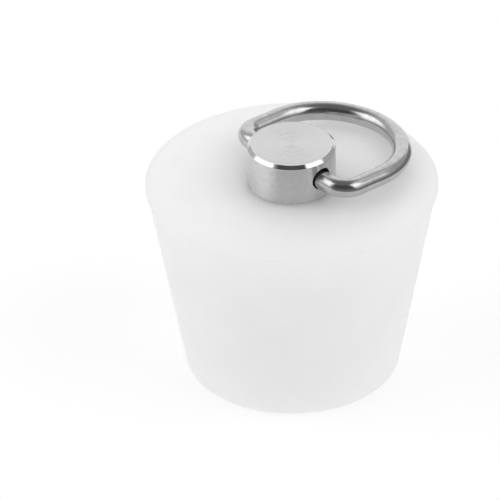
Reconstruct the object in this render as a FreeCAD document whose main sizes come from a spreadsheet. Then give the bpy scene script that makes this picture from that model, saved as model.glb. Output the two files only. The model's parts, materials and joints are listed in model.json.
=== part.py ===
"""Tapered silicone drain stopper with a turned steel knob and a hinged wire pull ring.

Millimetres, +Z up, origin at the centre of the base. The ring's pins lie along X, and the ring
rests on the plug's top face towards +Y. A screw through the plug, with a washer under its head,
holds the knob down.
"""

import FreeCAD
import Part
import Sketcher
import math
import os
from enum import IntEnum

# Driving dimensions, each with the alias of its cell and what it measures
SIZES = [
    ("plug_top_diameter", "53", "across the lip round the top, where the plug is widest"),
    ("plug_base_diameter", "37", "across the flat of the base, inside its edge round"),
    ("plug_height", "38", "silicone alone, base to top face"),
    ("base_edge_radius", "1", "round of the moulded base edge"),
    ("lip_height", "1.1", "thickness of the lip round the top"),
    ("lip_overhang", "0.3", "how far the lip stands out from the side wall"),
    ("lip_edge_radius", "0.25", "round of the lip's two edges"),
    ("pocket_clearance", "0.5", "from the washer's rim to the pocket's wall"),
    ("pocket_mouth_radius", "0.6", "round of the pocket's mouth in the base"),
    ("bore_clearance", "0.1", "from the screw to the silicone's bore"),
    ("knob_diameter", "16", "turned bar that the knob is cut from"),
    ("knob_floor", "2.1", "steel under the cross hole"),
    ("knob_roof", "1.8", "steel over the cross hole"),
    ("knob_crown", "1.3", "steel over the tapped hole"),
    ("knob_chamfer", "0.6", "chamfer round the knob's top face"),
    ("knob_foot_chamfer", "0.2", "edge break round the knob's base"),
    ("wire_diameter", "3.5", "wire that the pull ring is bent from"),
    ("hole_clearance", "0.3", "radial play of a pin in the cross hole"),
    ("pin_seat_gap", "0.05", "under a pin where it lies in the cross hole"),
    ("pin_exposed", "2.15", "straight pin from the knob's side to the bend"),
    ("pin_tip_clearance", "1", "from each pin's end to the screw"),
    ("pin_tip_chamfer", "0.4", "chamfer of the cut wire ends"),
    ("bend_inside_radius", "1.65", "inside of the bend from pin to leg"),
    ("leg_length", "5.6", "straight leg between the bend and the round end"),
    ("ring_rest_gap", "0.4", "from the plug to the ring where it rests"),
    ("screw_diameter", "5", "outside of the screw's thread"),
    ("screw_head_diameter", "9.5", "across the pan head"),
    ("screw_head_height", "3.7", "bearing face to the top of the pan head"),
    ("screw_head_round", "2", "round of the pan head's edge"),
    ("screw_tip_chamfer", "0.6", "chamfer of the screw's end"),
    ("screw_tip_clearance", "0.5", "from the screw's end to the tapped hole's end"),
    ("thread_clearance", "0.05", "from the screw to the tapped hole"),
    ("head_recess", "0.5", "from the plug's base up to the screw head"),
    ("drive_span", "4.4", "across the cross recess"),
    ("drive_width", "1.1", "width of one slot of the cross recess"),
    ("drive_depth", "2.2", "depth of the cross recess"),
    ("drive_taper", "8", "draft of the cross recess, in degrees"),
    ("washer_diameter", "15", "across the washer"),
    ("washer_thickness", "1.2", "sheet that the washer is stamped from"),
    ("washer_hole_clearance", "0.15", "from the screw to the washer's hole"),
    ("washer_edge_radius", "0.3", "round of the washer's stamped edge"),
]

# Sizes that follow from the driving ones, as expressions of the sheet's cells
WIRE_RADIUS = "(sizes.wire_diameter / 2)"
SHANK_RADIUS = "(sizes.screw_diameter / 2)"
HOLE_RADIUS = f"({WIRE_RADIUS} + sizes.hole_clearance)"
HOLE_HEIGHT = f"(sizes.knob_floor + {HOLE_RADIUS})"
KNOB_HEIGHT = f"(sizes.knob_floor + 2 * {HOLE_RADIUS} + sizes.knob_roof)"
KNOB_RADIUS = "(sizes.knob_diameter / 2)"
TAPPED_RADIUS = f"({SHANK_RADIUS} + sizes.thread_clearance)"
TAPPED_DEPTH = f"({KNOB_HEIGHT} - sizes.knob_crown)"

BEND_RADIUS = f"(sizes.bend_inside_radius + {WIRE_RADIUS})"
RING_HALF_WIDTH = f"({KNOB_RADIUS} + sizes.pin_exposed + {BEND_RADIUS})"
RING_REACH = f"({BEND_RADIUS} + sizes.leg_length + {RING_HALF_WIDTH})"
PIN_END = f"({SHANK_RADIUS} + sizes.pin_tip_clearance)"
PIN_HEIGHT = f"(sizes.plug_height + sizes.knob_floor + sizes.pin_seat_gap + {WIRE_RADIUS})"
RING_DROP = "(sizes.knob_floor + sizes.pin_seat_gap - sizes.ring_rest_gap)"
RING_TILT = f"asin({RING_DROP} / {RING_REACH})"

# The side wall runs down from under the lip and touches the round of the base edge
EDGE = "sizes.base_edge_radius"
FLAT_RADIUS = "(sizes.plug_base_diameter / 2)"
LIP_RADIUS = "(sizes.plug_top_diameter / 2)"
LIP_UNDERSIDE = "(sizes.plug_height - sizes.lip_height)"
WALL_TOP_RADIUS = f"({LIP_RADIUS} - sizes.lip_overhang)"
WALL_RUN = f"({WALL_TOP_RADIUS} - {FLAT_RADIUS})"
WALL_RISE = f"({LIP_UNDERSIDE} - {EDGE})"
WALL_REACH = f"sqrt({WALL_RUN}^2 + {WALL_RISE}^2 - {EDGE}^2)"
WALL_SLOPE = f"(({WALL_RUN} * {WALL_RISE} - {EDGE} * {WALL_REACH}) / ({WALL_RISE}^2 - {EDGE}^2))"
BASE_CORNER_RADIUS = f"({WALL_TOP_RADIUS} - {WALL_SLOPE} * {LIP_UNDERSIDE})"
LIP_ROUND = "min(sizes.lip_edge_radius; 0.9 * sizes.lip_overhang; 0.4 * sizes.lip_height)"

HEAD_SEAT = "(sizes.head_recess + sizes.screw_head_height)"
POCKET_DEPTH = f"({HEAD_SEAT} + sizes.washer_thickness)"
POCKET_RADIUS = "(sizes.washer_diameter / 2 + sizes.pocket_clearance)"
SCREW_LENGTH = f"(sizes.plug_height + {TAPPED_DEPTH} - sizes.screw_tip_clearance - {HEAD_SEAT})"

ON_AXIS = "0"
FULL_TURN = 360
TOUCHING = 1e-6


class Axis(IntEnum):
    """A sketch's own axes, as constraints number them."""

    HORIZONTAL = -1
    VERTICAL = -2


class Spot(IntEnum):
    """Which point of a sketch's line, arc or circle a constraint holds."""

    START = 1
    END = 2
    CENTRE = 3


ORIGIN = (Axis.HORIZONTAL, Spot.START)

doc = FreeCAD.newDocument("drain_stopper")

# The sheet of sizes, and what reads it


def make_sheet():
    """Fills the sheet: one row for each size, with its name, its number and what it measures."""
    sheet = doc.addObject("Spreadsheet::Sheet", "sizes")
    for row, (alias, number, note) in enumerate(SIZES, start=1):
        sheet.set(f"A{row}", alias)
        sheet.set(f"B{row}", number)
        sheet.set(f"C{row}", note)
        sheet.setAlias(f"B{row}", alias)
    doc.recompute()
    return sheet


def value(expression):
    """The number that an expression of the sheet's cells gives."""
    return float(sizes.evalExpression(expression))


# Bodies, sketches and the ties between a sketch and the sheet


def new_body(label):
    """An empty body, whose label names the piece."""
    body = doc.addObject("PartDesign::Body", label)
    body.Label = label
    return body


def new_sketch(body, plane, name):
    """A sketch on one of the body's own origin planes."""
    sketch = body.newObject("Sketcher::SketchObject", name)
    support = next(item for item in body.Origin.OriginFeatures if item.Role == plane)
    sketch.AttachmentSupport = [(support, "")]
    sketch.MapMode = "FlatFace"
    return sketch


def dimension(sketch, kind, expression, *geometry):
    """A dimensional constraint bound to the sheet."""
    index = sketch.addConstraint(Sketcher.Constraint(kind, *geometry, value(expression)))
    sketch.setExpression(f"Constraints[{index}]", expression)


def tie_point(sketch, geometry, x, y):
    """Holds a point of the sketch at x and y, two expressions, with ON_AXIS for a point on an axis."""
    for expression, kind, axis in ((x, "DistanceX", Axis.VERTICAL), (y, "DistanceY", Axis.HORIZONTAL)):
        if expression == ON_AXIS:
            sketch.addConstraint(Sketcher.Constraint("PointOnObject", *geometry, axis))
        else:
            dimension(sketch, kind, expression, *ORIGIN, *geometry)


def draw_outline(sketch, corners):
    """A closed outline of straight lines, each corner tied to its two expressions."""
    points = [FreeCAD.Vector(value(x), value(y), 0) for x, y in corners]
    count = len(points)
    for index, start in enumerate(points):
        sketch.addGeometry(Part.LineSegment(start, points[(index + 1) % count]))
    for index, (x, y) in enumerate(corners):
        following = (index + 1) % count
        sketch.addConstraint(Sketcher.Constraint("Coincident", index, Spot.END, following, Spot.START))
        tie_point(sketch, (index, Spot.START), x, y)


def draw_circle(sketch, radius, x, y):
    """A circle whose radius and centre are expressions."""
    centre = FreeCAD.Vector(value(x), value(y), 0)
    sketch.addGeometry(Part.Circle(centre, FreeCAD.Vector(0, 0, 1), value(radius)))
    dimension(sketch, "Radius", radius, 0)
    tie_point(sketch, (0, Spot.CENTRE), x, y)


def revolve(body, corners):
    """A full turn of an outline in the XZ plane about the body's Z axis."""
    sketch = new_sketch(body, "XZ_Plane", f"{body.Label}_outline")
    draw_outline(sketch, corners)
    feature = body.newObject("PartDesign::Revolution", f"{body.Label}_turned")
    feature.Profile = sketch
    feature.ReferenceAxis = (sketch, ["V_Axis"])
    feature.Angle = FULL_TURN
    doc.recompute()
    return feature


def ring_edges(feature, radius, height):
    """Names of the feature's round edges about Z with this radius at this height, both expressions."""
    names = []
    for index, edge in enumerate(feature.Shape.Edges, start=1):
        curve = edge.Curve
        if not isinstance(curve, Part.Circle) or abs(curve.Axis.z) < 1 - TOUCHING:
            continue
        on_radius = abs(curve.Radius - value(radius)) < TOUCHING
        if on_radius and abs(curve.Center.z - value(height)) < TOUCHING:
            names.append(f"Edge{index}")
    return names


def dress_edges(body, kind, size, edges):
    """A fillet or chamfer on named edges of the body's last feature, with its size from the sheet."""
    feature = body.newObject(f"PartDesign::{kind}", f"{body.Label}_{kind.lower()}_{len(body.Group)}")
    feature.Base = (body.Group[-2], edges)
    feature.setExpression("Radius" if kind == "Fillet" else "Size", size)
    doc.recompute()
    return feature


def placed_at(height, rotation="rotation(vector(0; 0; 1); 0)"):
    """A placement on the Z axis at a height, both expressions, with no turn unless one is given."""
    return f"placement(vector(0; 0; {height}); {rotation})"


# The pieces


def make_stopper_body():
    """Solid silicone plug: lip, tapered wall, a bore for the screw, a pocket for its washer and head."""
    body = new_body("stopper_body")
    bore = f"({SHANK_RADIUS} + sizes.bore_clearance)"
    moulded = revolve(
        body,
        [
            (POCKET_RADIUS, ON_AXIS),
            (BASE_CORNER_RADIUS, ON_AXIS),
            (WALL_TOP_RADIUS, LIP_UNDERSIDE),
            (LIP_RADIUS, LIP_UNDERSIDE),
            (LIP_RADIUS, "sizes.plug_height"),
            (bore, "sizes.plug_height"),
            (bore, POCKET_DEPTH),
            (POCKET_RADIUS, POCKET_DEPTH),
        ],
    )
    lip = ring_edges(moulded, LIP_RADIUS, "sizes.plug_height")
    lip += ring_edges(moulded, LIP_RADIUS, LIP_UNDERSIDE)
    lipped = dress_edges(body, "Fillet", LIP_ROUND, lip)
    based = dress_edges(body, "Fillet", EDGE, ring_edges(lipped, BASE_CORNER_RADIUS, ON_AXIS))
    mouth = ring_edges(based, POCKET_RADIUS, ON_AXIS)
    dress_edges(body, "Fillet", "sizes.pocket_mouth_radius", mouth)
    return body


def make_knob():
    """Turned steel knob: chamfered top, tapped hole from below, and the cross hole for the ring's pins."""
    body = new_body("knob")
    turned = revolve(
        body,
        [
            (TAPPED_RADIUS, ON_AXIS),
            (KNOB_RADIUS, ON_AXIS),
            (KNOB_RADIUS, KNOB_HEIGHT),
            (ON_AXIS, KNOB_HEIGHT),
            (ON_AXIS, TAPPED_DEPTH),
            (TAPPED_RADIUS, TAPPED_DEPTH),
        ],
    )
    crown = dress_edges(body, "Chamfer", "sizes.knob_chamfer", ring_edges(turned, KNOB_RADIUS, KNOB_HEIGHT))
    dress_edges(body, "Chamfer", "sizes.knob_foot_chamfer", ring_edges(crown, KNOB_RADIUS, ON_AXIS))
    drill = new_sketch(body, "YZ_Plane", "cross_hole_circle")
    draw_circle(drill, HOLE_RADIUS, ON_AXIS, HOLE_HEIGHT)
    hole = body.newObject("PartDesign::Pocket", "cross_hole")
    hole.Profile = drill
    hole.SideType = "Symmetric"
    hole.Type = "ThroughAll"
    body.setExpression("Placement", placed_at("sizes.plug_height"))
    return body


def draw_ring_path(sketch):
    """Centreline of the ring, flat in XY: pin, bend, leg, round end, and the same back to the other pin."""
    end, bend, half = value(PIN_END), value(BEND_RADIUS), value(RING_HALF_WIDTH)
    shoulder = bend + value("sizes.leg_length")
    up = FreeCAD.Vector(0, 0, 1)

    def arc(x, y, radius, first, last):
        circle = Part.Circle(FreeCAD.Vector(x, y, 0), up, radius)
        return Part.ArcOfCircle(circle, math.radians(first), math.radians(last))

    def line(x1, y1, x2, y2):
        return Part.LineSegment(FreeCAD.Vector(x1, y1, 0), FreeCAD.Vector(x2, y2, 0))

    right_pin = sketch.addGeometry(line(end, 0, half - bend, 0))
    right_bend = sketch.addGeometry(arc(half - bend, bend, bend, -90, 0))
    right_leg = sketch.addGeometry(line(half, bend, half, shoulder))
    round_end = sketch.addGeometry(arc(0, shoulder, half, 0, 180))
    left_leg = sketch.addGeometry(line(-half, shoulder, -half, bend))
    left_bend = sketch.addGeometry(arc(bend - half, bend, bend, 180, 270))
    left_pin = sketch.addGeometry(line(bend - half, 0, -end, 0))

    run = [right_pin, right_bend, right_leg, round_end, left_leg, left_bend, left_pin]
    for first, second in zip(run, run[1:]):
        sketch.addConstraint(Sketcher.Constraint("Tangent", first, Spot.END, second, Spot.START))
    for pin in (right_pin, left_pin):
        sketch.addConstraint(Sketcher.Constraint("Horizontal", pin))
    tips = (right_pin, Spot.START, left_pin, Spot.END)
    sketch.addConstraint(Sketcher.Constraint("PointOnObject", right_pin, Spot.START, Axis.HORIZONTAL))
    sketch.addConstraint(Sketcher.Constraint("Symmetric", *tips, *ORIGIN))
    sketch.addConstraint(Sketcher.Constraint("Vertical", right_leg))
    sketch.addConstraint(Sketcher.Constraint("PointOnObject", round_end, Spot.CENTRE, Axis.VERTICAL))
    sketch.addConstraint(Sketcher.Constraint("Equal", right_bend, left_bend))
    dimension(sketch, "DistanceX", PIN_END, *ORIGIN, right_pin, Spot.START)
    dimension(sketch, "Radius", BEND_RADIUS, right_bend)
    dimension(sketch, "DistanceY", "sizes.leg_length", right_leg, Spot.START, right_leg, Spot.END)
    dimension(sketch, "Radius", RING_HALF_WIDTH, round_end)


def make_pull_ring():
    """One length of wire bent to a D, its two ends turned in as the pins that it hinges on."""
    body = new_body("pull_ring")
    path = new_sketch(body, "XY_Plane", "ring_centreline")
    draw_ring_path(path)
    section = new_sketch(body, "YZ_Plane", "wire_section")
    draw_circle(section, WIRE_RADIUS, ON_AXIS, ON_AXIS)
    section.setExpression("AttachmentOffset", placed_at(PIN_END))
    doc.recompute()
    wire = body.newObject("PartDesign::AdditivePipe", "bent_wire")
    wire.Profile = section
    wire.Spine = path
    doc.recompute()
    ends = []
    for index, edge in enumerate(wire.Shape.Edges, start=1):
        box = edge.BoundBox
        if box.XLength < TOUCHING and abs(abs(box.XMin) - value(PIN_END)) < TOUCHING:
            ends.append(f"Edge{index}")
    dress_edges(body, "Chamfer", "sizes.pin_tip_chamfer", ends)
    body.setExpression("Placement", placed_at(PIN_HEIGHT, f"rotation(vector(1; 0; 0); -{RING_TILT})"))
    return body


def make_fixing_screw():
    """Pan-head machine screw, head down, with a cross recess."""
    body = new_body("fixing_screw")
    head = "(sizes.screw_head_diameter / 2)"
    underside = "(-sizes.screw_head_height)"
    turned = revolve(
        body,
        [
            (ON_AXIS, underside),
            (head, underside),
            (head, ON_AXIS),
            (SHANK_RADIUS, ON_AXIS),
            (SHANK_RADIUS, f"({SCREW_LENGTH} - sizes.screw_tip_chamfer)"),
            (f"({SHANK_RADIUS} - sizes.screw_tip_chamfer)", SCREW_LENGTH),
            (ON_AXIS, SCREW_LENGTH),
        ],
    )
    dress_edges(body, "Fillet", "sizes.screw_head_round", ring_edges(turned, head, underside))
    recess = new_sketch(body, "XY_Plane", "drive_outline")
    arm, slot = "(sizes.drive_span / 2)", "(sizes.drive_width / 2)"
    quarter = [(arm, slot), (slot, slot), (slot, arm)]
    corners = []
    for turn_x, turn_y in ((1, 1), (-1, 1), (-1, -1), (1, -1)):
        side = quarter if turn_x == turn_y else quarter[::-1]
        corners += [(f"({turn_x} * {x})", f"({turn_y} * {y})") for x, y in side]
    draw_outline(recess, corners)
    recess.setExpression("AttachmentOffset", placed_at(underside))
    drive = body.newObject("PartDesign::Pocket", "drive_recess")
    drive.Profile = recess
    drive.Reversed = True
    drive.setExpression("Length", "sizes.drive_depth")
    drive.setExpression("TaperAngle", "-sizes.drive_taper")
    body.setExpression("Placement", placed_at(HEAD_SEAT))
    return body


def make_washer():
    """Stamped washer between the screw head and the silicone, rounded on its lower edge."""
    body = new_body("washer")
    rim = "(sizes.washer_diameter / 2)"
    hole = f"({SHANK_RADIUS} + sizes.washer_hole_clearance)"
    turned = revolve(
        body,
        [
            (hole, ON_AXIS),
            (rim, ON_AXIS),
            (rim, "sizes.washer_thickness"),
            (hole, "sizes.washer_thickness"),
        ],
    )
    dress_edges(body, "Fillet", "sizes.washer_edge_radius", ring_edges(turned, rim, ON_AXIS))
    body.setExpression("Placement", placed_at(HEAD_SEAT))
    return body


# Build, check and write


def check(pieces):
    """Stops the build where an object failed or a piece isn't one valid solid."""
    for item in doc.Objects:
        if "Invalid" in item.State or "Error" in item.State:
            raise RuntimeError(f"{item.Label} failed: {item.State}")
    for piece in pieces:
        shape = piece.Shape
        if shape.isNull() or not shape.isValid() or len(shape.Solids) != 1:
            raise RuntimeError(f"{piece.Label} is not one valid solid")


sizes = make_sheet()
pieces = [make_stopper_body(), make_knob(), make_pull_ring(), make_fixing_screw(), make_washer()]
doc.recompute()
check(pieces)
os.makedirs("parts", exist_ok=True)
for piece in pieces:
    piece.Shape.exportStep(f"parts/{piece.Label}.step")
    print(f"{piece.Label}: {piece.Shape.Volume:.1f} mm3")
print(f"ring tilt {value(RING_TILT):.3f} deg, pin height {value(PIN_HEIGHT):.3f} mm")
print(f"ring reach {value(RING_REACH):.3f} mm, screw length {value(SCREW_LENGTH):.3f} mm")
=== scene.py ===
"""Drain stopper: a milky silicone plug, a turned steel knob and the wire ring that lifts it out.

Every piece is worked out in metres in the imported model's own frame: +Z up, the origin at the centre
of the base, the ring's pins along X. A piece is a few patches, each a grid of points, welded into
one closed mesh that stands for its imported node.
"""

import json
import logging
import math
from collections.abc import Sequence
from dataclasses import dataclass
from enum import Enum
from typing import ClassVar, Protocol

import bmesh
import bpy
import numpy as np
from mathutils import Matrix, Vector


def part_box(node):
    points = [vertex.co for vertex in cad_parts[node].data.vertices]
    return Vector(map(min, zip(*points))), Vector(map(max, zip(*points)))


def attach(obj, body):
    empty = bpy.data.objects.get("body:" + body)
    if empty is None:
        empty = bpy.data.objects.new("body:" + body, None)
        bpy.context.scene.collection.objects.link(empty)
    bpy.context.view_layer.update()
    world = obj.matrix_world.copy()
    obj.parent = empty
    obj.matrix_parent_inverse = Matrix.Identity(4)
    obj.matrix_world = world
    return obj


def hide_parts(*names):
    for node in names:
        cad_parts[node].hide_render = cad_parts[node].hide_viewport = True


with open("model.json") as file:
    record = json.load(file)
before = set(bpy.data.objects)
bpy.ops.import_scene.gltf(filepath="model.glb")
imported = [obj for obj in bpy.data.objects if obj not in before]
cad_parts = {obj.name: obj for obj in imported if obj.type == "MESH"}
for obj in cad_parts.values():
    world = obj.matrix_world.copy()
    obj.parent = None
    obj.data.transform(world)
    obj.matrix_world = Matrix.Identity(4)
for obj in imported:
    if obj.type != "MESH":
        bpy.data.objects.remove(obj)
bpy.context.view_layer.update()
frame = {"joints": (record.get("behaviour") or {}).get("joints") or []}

LOG = logging.getLogger("drain_stopper")

MM = 0.001
FULL_TURN = 2 * math.pi
WELD_DISTANCE = 1e-7
SHARP_ANGLE = math.radians(30)
ROUND_STEPS = 6
BRACE = 0.12 * MM
BRACES_TO_A_RUN = 4
NOISE_MIDDLE = (0.3, 0.7)
ACROSS_THE_RINGS = 0.25

Colour = tuple[float, float, float, float]
Corner = tuple[float, float, float]
Socket = bpy.types.NodeSocket


class Body(Enum):
    """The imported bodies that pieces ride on."""

    STOPPER = "stopper"
    RING = "ring"


class Zone(Enum):
    """Which of a piece's finishes a patch has, by its place in the list."""

    FIRST = 0
    SECOND = 1
    THIRD = 2


# Grids and outlines


@dataclass
class Patch:
    """A grid of points, rows by columns, with one finish.

    Attributes:
        points: The grid, rows by columns by three.
        zone: Which of the piece's finishes it has.
        spread: Where each point lies on the surface laid flat, rows by columns by two, in metres.
    """

    points: np.ndarray
    zone: Zone = Zone.FIRST
    spread: np.ndarray | None = None

    def quads(self, first: int) -> np.ndarray:
        """Numbers each cell's four corners, counting points on from the first."""
        rows, columns = self.points.shape[:2]
        number = first + np.arange(rows * columns).reshape(rows, columns)
        cells = (number[:-1, :-1], number[:-1, 1:], number[1:, 1:], number[1:, :-1])
        return np.stack(cells, axis=-1).reshape(-1, 4)

    def flat(self) -> np.ndarray:
        """Gives the laid-out places as one row for each point, zeros where the patch has none."""
        count = self.points.shape[0] * self.points.shape[1]
        return np.zeros((count, 2)) if self.spread is None else self.spread.reshape(-1, 2)


def weld(name: str, patches: Sequence[Patch]) -> bpy.types.Object:
    """Joins patches into one mesh: shared borders and poles are merged, and faces turned outwards.

    Args:
        name: The new object's name.
        patches: The grids, whose borders meet point for point.

    Returns:
        The object, at the origin, smooth apart from its sharp edges.
    """
    counts = [patch.points.shape[0] * patch.points.shape[1] for patch in patches]
    firsts = np.concatenate([[0], np.cumsum(counts)[:-1]])
    points = np.concatenate([patch.points.reshape(-1, 3) for patch in patches])
    cells = [patch.quads(first) for patch, first in zip(patches, firsts)]
    zones = [np.full(len(quads), patch.zone.value) for patch, quads in zip(patches, cells)]
    spread = np.concatenate([patch.flat() for patch in patches])
    corners = np.concatenate(cells).ravel()

    mesh = bpy.data.meshes.new(name)
    mesh.vertices.add(len(points))
    mesh.vertices.foreach_set("co", points.ravel())
    mesh.loops.add(len(corners))
    mesh.loops.foreach_set("vertex_index", corners)
    mesh.polygons.add(len(corners) // 4)
    mesh.polygons.foreach_set("loop_start", np.arange(0, len(corners), 4))
    mesh.polygons.foreach_set("material_index", np.concatenate(zones))
    mesh.update(calc_edges=True)
    mesh.uv_layers.new(name="laid_flat").data.foreach_set("uv", spread[corners].ravel())

    shape = bmesh.new()
    shape.from_mesh(mesh)
    bmesh.ops.remove_doubles(shape, verts=shape.verts, dist=WELD_DISTANCE)
    bmesh.ops.dissolve_degenerate(shape, dist=WELD_DISTANCE, edges=shape.edges)
    bmesh.ops.recalc_face_normals(shape, faces=shape.faces)
    open_edges = sum(not edge.is_manifold for edge in shape.edges)
    shape.to_mesh(mesh)
    shape.free()
    mesh.shade_smooth()
    mesh.set_sharp_from_angle(angle=SHARP_ANGLE)
    LOG.info("%s: %d faces, %d open edges", name, len(mesh.polygons), open_edges)

    piece = bpy.data.objects.new(name, mesh)
    bpy.context.scene.collection.objects.link(piece)
    return piece


def round_corner(before: np.ndarray, corner: np.ndarray, after: np.ndarray, radius: float) -> np.ndarray:
    """Rounds one corner of an outline with an arc that touches both of its runs.

    With a and b the directions from the corner to its neighbours and w half the angle between them,
    the arc starts and ends at radius / tan(w) from the corner, and its centre lies radius / sin(w)
    along a + b. Points between are the two end spokes blended by the sines of their shares.

    Args:
        before: The corner before, as r and z.
        corner: The corner itself.
        after: The corner after.
        radius: Radius of the round.

    Returns:
        The arc's points.
    """
    a = (before - corner) / np.linalg.norm(before - corner)
    b = (after - corner) / np.linalg.norm(after - corner)
    half = math.acos(np.clip(a @ b, -1, 1)) / 2
    centre = corner + (a + b) / np.linalg.norm(a + b) * radius / math.sin(half)
    first = corner + a * radius / math.tan(half) - centre
    last = corner + b * radius / math.tan(half) - centre
    sweep = math.pi - 2 * half
    share = np.linspace(0, 1, ROUND_STEPS + 1)[:, None]
    spoke = np.sin((1 - share) * sweep) * first + np.sin(share * sweep) * last
    return centre + spoke / math.sin(sweep)


def outline(corners: Sequence[Corner]) -> np.ndarray:
    """Works out an open outline: straight runs joined by rounds, with a point close to each run's ends.

    Args:
        corners: For each corner its r, its z and the radius of its round, with 0 for a sharp one.

    Returns:
        The points, as r and z.
    """
    places = np.array([corner[:2] for corner in corners])
    stretches = [places[:1]]
    for before, place, after, corner in zip(places, places[1:], places[2:], corners[1:]):
        radius = corner[2]
        stretches.append(round_corner(before, place, after, radius) if radius else place[None])
    points = np.concatenate([*stretches, places[-1:]])
    step = np.diff(points, axis=0)
    length = np.maximum(np.linalg.norm(step, axis=1), BRACES_TO_A_RUN * BRACE)
    share = (BRACE / length)[:, None]
    braced = np.stack([points[:-1], points[:-1] + step * share, points[1:] - step * share], axis=1)
    return np.concatenate([braced.reshape(-1, 2), points[-1:]])


def around(count: int) -> np.ndarray:
    """Gives the angles of a full turn in even steps, both ends included."""
    return np.linspace(0, FULL_TURN, count + 1)


def turned(profile: np.ndarray, angles: np.ndarray, zone: Zone = Zone.FIRST) -> Patch:
    """Turns a profile about Z: x is r cos(angle), y is r sin(angle), z is the profile's own.

    Args:
        profile: Points as r and z.
        angles: The angles of the columns.
        zone: The finish.

    Returns:
        One row for each point of the profile.
    """
    r, z = profile[:, :1], profile[:, 1:]
    columns = (r * np.cos(angles), r * np.sin(angles), np.broadcast_to(z, (len(profile), len(angles))))
    return Patch(np.stack(columns, axis=-1), zone)


def between(start: np.ndarray, end: np.ndarray, shares: np.ndarray) -> np.ndarray:
    """Blends two lines of points row by row: start at a share of 0, end at a share of 1."""
    share = shares[:, None, None]
    return start[None] * (1 - share) + end[None] * share


def ease(share: np.ndarray) -> np.ndarray:
    """Rises smoothly from 0 to 1: 3 s squared less 2 s cubed, held outside."""
    held = np.clip(share, 0, 1)
    return held**2 * (3 - 2 * held)


# Finishes


class Board:
    """The nodes of one material or world, with short calls to add and join them."""

    def __init__(self, owner: bpy.types.Material | bpy.types.World) -> None:
        """Takes over the owner's node tree."""
        owner.use_nodes = True
        self.tree = owner.node_tree
        self.nodes = self.tree.nodes

    def add(self, kind: str, inputs: dict | None = None, **choices: object) -> bpy.types.Node:
        """Adds a node.

        Args:
            kind: The node's type.
            inputs: Values or other nodes' outputs, by the socket's name or number.
            **choices: The node's own settings.

        Returns:
            The node.
        """
        node = self.nodes.new(kind)
        for choice, value in choices.items():
            setattr(node, choice, value)
        self.feed(node, inputs or {})
        return node

    def feed(self, node: bpy.types.Node, inputs: dict) -> None:
        """Sets each named socket to a value, or joins another node's output to it."""
        for socket, value in inputs.items():
            if isinstance(value, Socket):
                self.tree.links.new(value, node.inputs[socket])
            else:
                node.inputs[socket].default_value = value

    def math(self, operation: str, *values: object) -> Socket:
        """Adds a Math node on numbers or outputs and gives its result."""
        return self.add("ShaderNodeMath", dict(enumerate(values)), operation=operation).outputs[0]

    def scaled(self, scale: tuple[float, float, float], source: Socket) -> Socket:
        """Stretches coordinates by a scale along each axis."""
        return self.add("ShaderNodeMapping", {"Vector": source, "Scale": scale}).outputs[0]

    def noise(self, source: Socket, scale: float, detail: float = 2.0) -> Socket:
        """Adds a noise of so many features to the metre on the given coordinates."""
        inputs = {"Vector": source, "Scale": scale, "Detail": detail}
        return self.add("ShaderNodeTexNoise", inputs, noise_dimensions="3D").outputs[0]

    def line_noise(self, source: Socket, scale: float) -> Socket:
        """Adds a plain noise along one number, for marks that follow a turning tool."""
        inputs = {"W": source, "Scale": scale, "Detail": 0.0}
        return self.add("ShaderNodeTexNoise", inputs, noise_dimensions="1D").outputs[0]

    def ranged(self, value: Socket, low: float, high: float) -> Socket:
        """Spreads a noise's middle range over low to high."""
        least, most = NOISE_MIDDLE
        inputs = {"Value": value, "From Min": least, "From Max": most, "To Min": low, "To Max": high}
        return self.add("ShaderNodeMapRange", inputs).outputs[0]

    def bump(self, height: Socket, depth: float) -> Socket:
        """Adds relief of so many metres."""
        inputs = {"Height": height, "Distance": depth, "Strength": 1.0}
        return self.add("ShaderNodeBump", inputs).outputs[0]

    def clear_where(self, share: Socket, shader: bpy.types.Node) -> None:
        """Makes the surface see-through by a share, and the shader's own look for the rest."""
        clear = self.add("ShaderNodeBsdfTransparent").outputs[0]
        mix = self.add("ShaderNodeMixShader", {0: share, 1: shader.outputs[0], 2: clear})
        self.feed(self.nodes["Material Output"], {"Surface": mix.outputs[0]})


class Finish(Protocol):
    """What a piece's surface is made to look like."""

    def material(self) -> bpy.types.Material:
        """Makes the material."""


def new_material(name: str) -> tuple[bpy.types.Material, Board, bpy.types.Node]:
    """Makes a material and gives it with its board and its shader."""
    material = bpy.data.materials.new(name)
    board = Board(material)
    return material, board, board.nodes["Principled BSDF"]


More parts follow.
